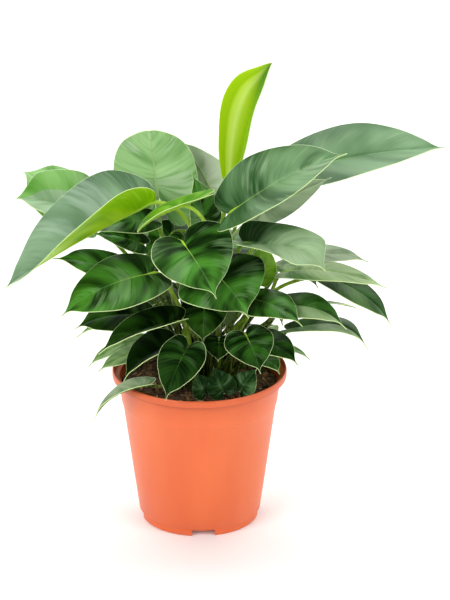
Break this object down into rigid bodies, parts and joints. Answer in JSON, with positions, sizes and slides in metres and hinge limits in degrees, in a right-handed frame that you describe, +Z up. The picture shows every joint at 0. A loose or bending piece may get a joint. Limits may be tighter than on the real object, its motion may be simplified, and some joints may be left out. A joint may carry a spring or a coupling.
{
  "type": "potted philodendron",
  "caption": "Bushy potted philodendron with heart-shaped and long pointed leaves on separate petioles, in a round tapered plastic pot filled with potting mix.",
  "frame": {"origin": "middle of the pot's underside", "axes": "+Z up out of the pot, -Y to the plant's front, +X to the right seen from the front"},
  "size_m": [0.4365, 0.2878, 0.4805],
  "materials": {
    "pot": "satin orange moulded plastic",
    "mix": "dark crumbly bark potting mix",
    "leaf_deep": "glossy dark green leaf",
    "leaf_mid": "satin mid green leaf",
    "leaf_pale": "pale green leaf",
    "leaf_lime": "lime green young leaf"
  },
  "bodies": {
    "root": {"pot": "pot", "soil": "mix", "leaf_top_new": "leaf_lime", "leaf_top_left": "leaf_mid", "leaf_top_middle": "leaf_mid", "leaf_top_right": "leaf_deep", "leaf_top_right_near": "leaf_deep", "leaf_top_right_under": "leaf_mid", "leaf_left_long": "leaf_deep", "leaf_left_high": "leaf_mid", "leaf_left_high_near": "leaf_mid", "leaf_left_shaded": "leaf_deep", "leaf_left_inner": "leaf_deep", "leaf_left_dark": "leaf_deep", "leaf_left_front": "leaf_deep", "leaf_left_low": "leaf_mid", "leaf_left_low_back": "leaf_mid", "leaf_left_narrow": "leaf_deep", "leaf_left_rim": "leaf_deep", "leaf_left_pale": "leaf_pale", "leaf_left_pale_near": "leaf_mid", "leaf_over_rim": "leaf_mid", "leaf_centre_front": "leaf_deep", "leaf_centre_low": "leaf_deep", "leaf_centre_dark": "leaf_deep", "leaf_centre_small": "leaf_deep", "leaf_centre_lime": "leaf_lime", "leaf_centre_upright": "leaf_mid", "leaf_centre_rolled": "leaf_lime", "leaf_right_folded": "leaf_deep", "leaf_right_grey": "leaf_mid", "leaf_right_light": "leaf_mid", "leaf_right_arched": "leaf_mid", "leaf_right_front": "leaf_deep", "leaf_right_behind": "leaf_mid", "leaf_right_low": "leaf_mid", "leaf_right_heart": "leaf_deep", "leaf_right_heart_back": "leaf_deep", "leaf_right_tip": "leaf_pale", "leaf_pot_right": "leaf_mid", "leaf_front_heart": "leaf_deep", "leaf_pot_front_left": "leaf_deep", "leaf_pot_front_middle": "leaf_deep", "leaf_pot_front_right": "leaf_deep", "leaf_inner_high": "leaf_deep", "leaf_back_high_left": "leaf_mid", "leaf_back_high_right": "leaf_mid", "leaf_back_mid_left": "leaf_deep", "leaf_back_middle": "leaf_deep", "leaf_back_left": "leaf_deep", "leaf_back_right": "leaf_deep", "leaf_back_low_left": "leaf_deep", "leaf_back_low_right": "leaf_deep", "leaf_back_low_middle": "leaf_deep", "leaf_back_rim_left": "leaf_mid", "leaf_back_rim_right": "leaf_mid", "leaf_back_side_left": "leaf_mid", "leaf_back_side_right": "leaf_mid"}
  },
  "joints": []
}
